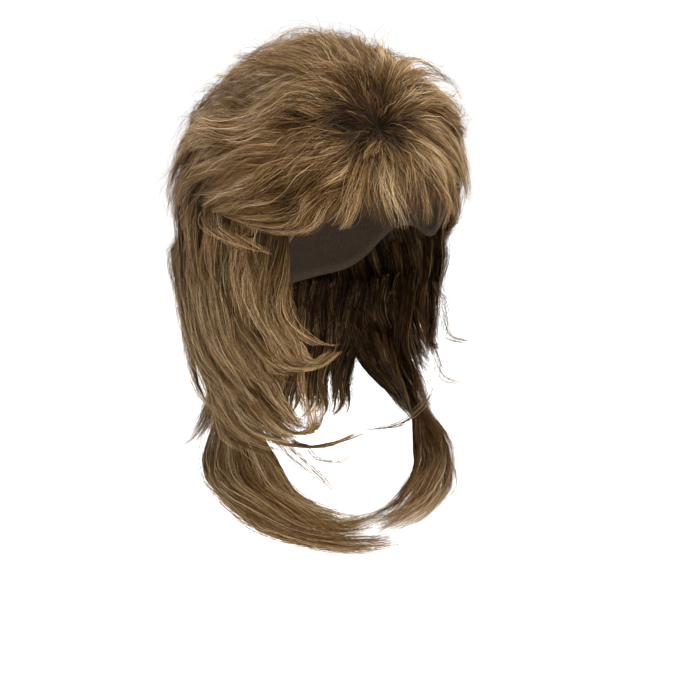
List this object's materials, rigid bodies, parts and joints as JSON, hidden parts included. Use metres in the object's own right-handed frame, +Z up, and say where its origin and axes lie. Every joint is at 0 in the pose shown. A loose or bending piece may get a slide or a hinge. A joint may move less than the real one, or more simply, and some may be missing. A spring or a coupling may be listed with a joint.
{
  "type": "mullet wig",
  "caption": "Worn mullet wig: a hollow net cap with swept-back layered hair on top, side layers and long sweeps of hair round the neck.",
  "frame": {"origin": "inside of the cap at the top of the head, where the wig sits on it", "axes": "+Z up, along the wearer's head and neck; -Y the way the wearer faces; -X the wearer's right"},
  "size_m": [0.2128, 0.2524, 0.3516],
  "materials": {
    "cap_net": "fine stretch net with sewn wefts, matt",
    "hair": "synthetic hair strands, ash brown with darker roots, soft sheen"
  },
  "bodies": {
    "root": {"cap": "cap_net", "crown_waves": "hair", "fringe": "hair", "side_waves_right": "hair", "side_waves_left": "hair", "side_layers_right": "hair", "side_layers_left": "hair", "back_layers": "hair", "nape_fall": "hair", "neck_sweep_right": "hair", "neck_sweep_left": "hair"}
  },
  "joints": []
}
